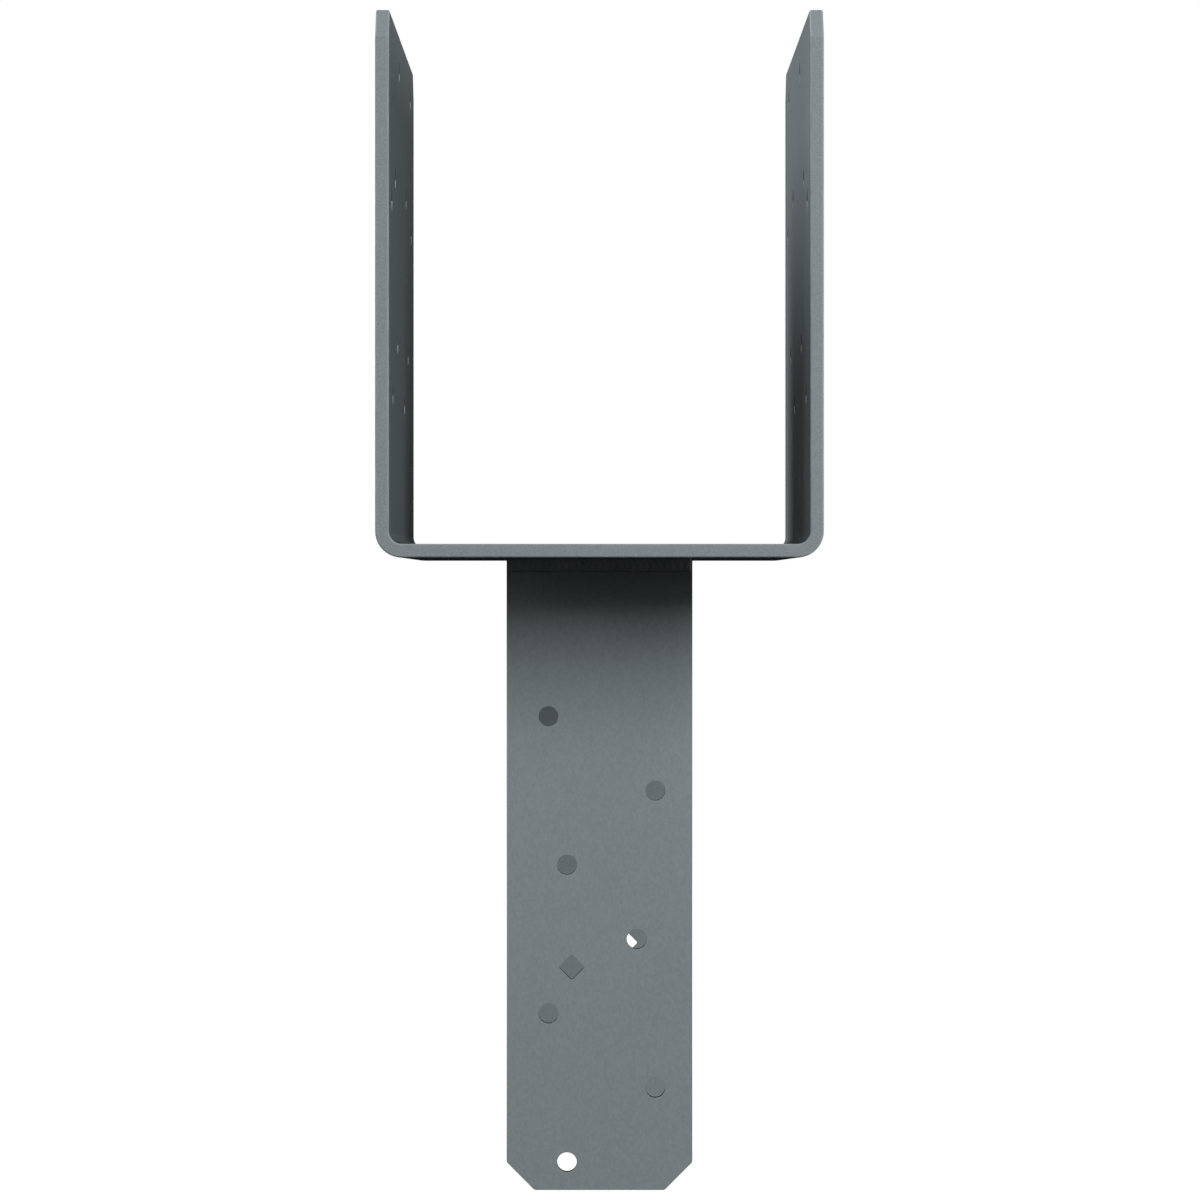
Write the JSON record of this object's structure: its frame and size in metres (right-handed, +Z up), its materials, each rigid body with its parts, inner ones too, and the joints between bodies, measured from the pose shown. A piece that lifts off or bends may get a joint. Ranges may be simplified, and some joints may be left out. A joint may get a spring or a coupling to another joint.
{
  "type": "column cap",
  "caption": "Welded steel column cap: a U-shaped saddle with punched flanges seats a beam, and two punched straps below clasp the sides of a post.",
  "frame": {"origin": "centre of the saddle's underside, on the axis of the post, where the end of the post bears", "axes": "+Z up along the post, +Y along the beam, +X across the beam; the front strap is on the -Y side"},
  "size_m": [0.1488, 0.2794, 0.3983],
  "materials": {
    "grey_paint": "satin grey paint over hot-rolled steel, faint orange peel"
  },
  "bodies": {
    "root": {"saddle": "grey_paint", "front_strap": "grey_paint", "rear_strap": "grey_paint", "front_weld": "grey_paint", "rear_weld": "grey_paint"}
  },
  "joints": []
}
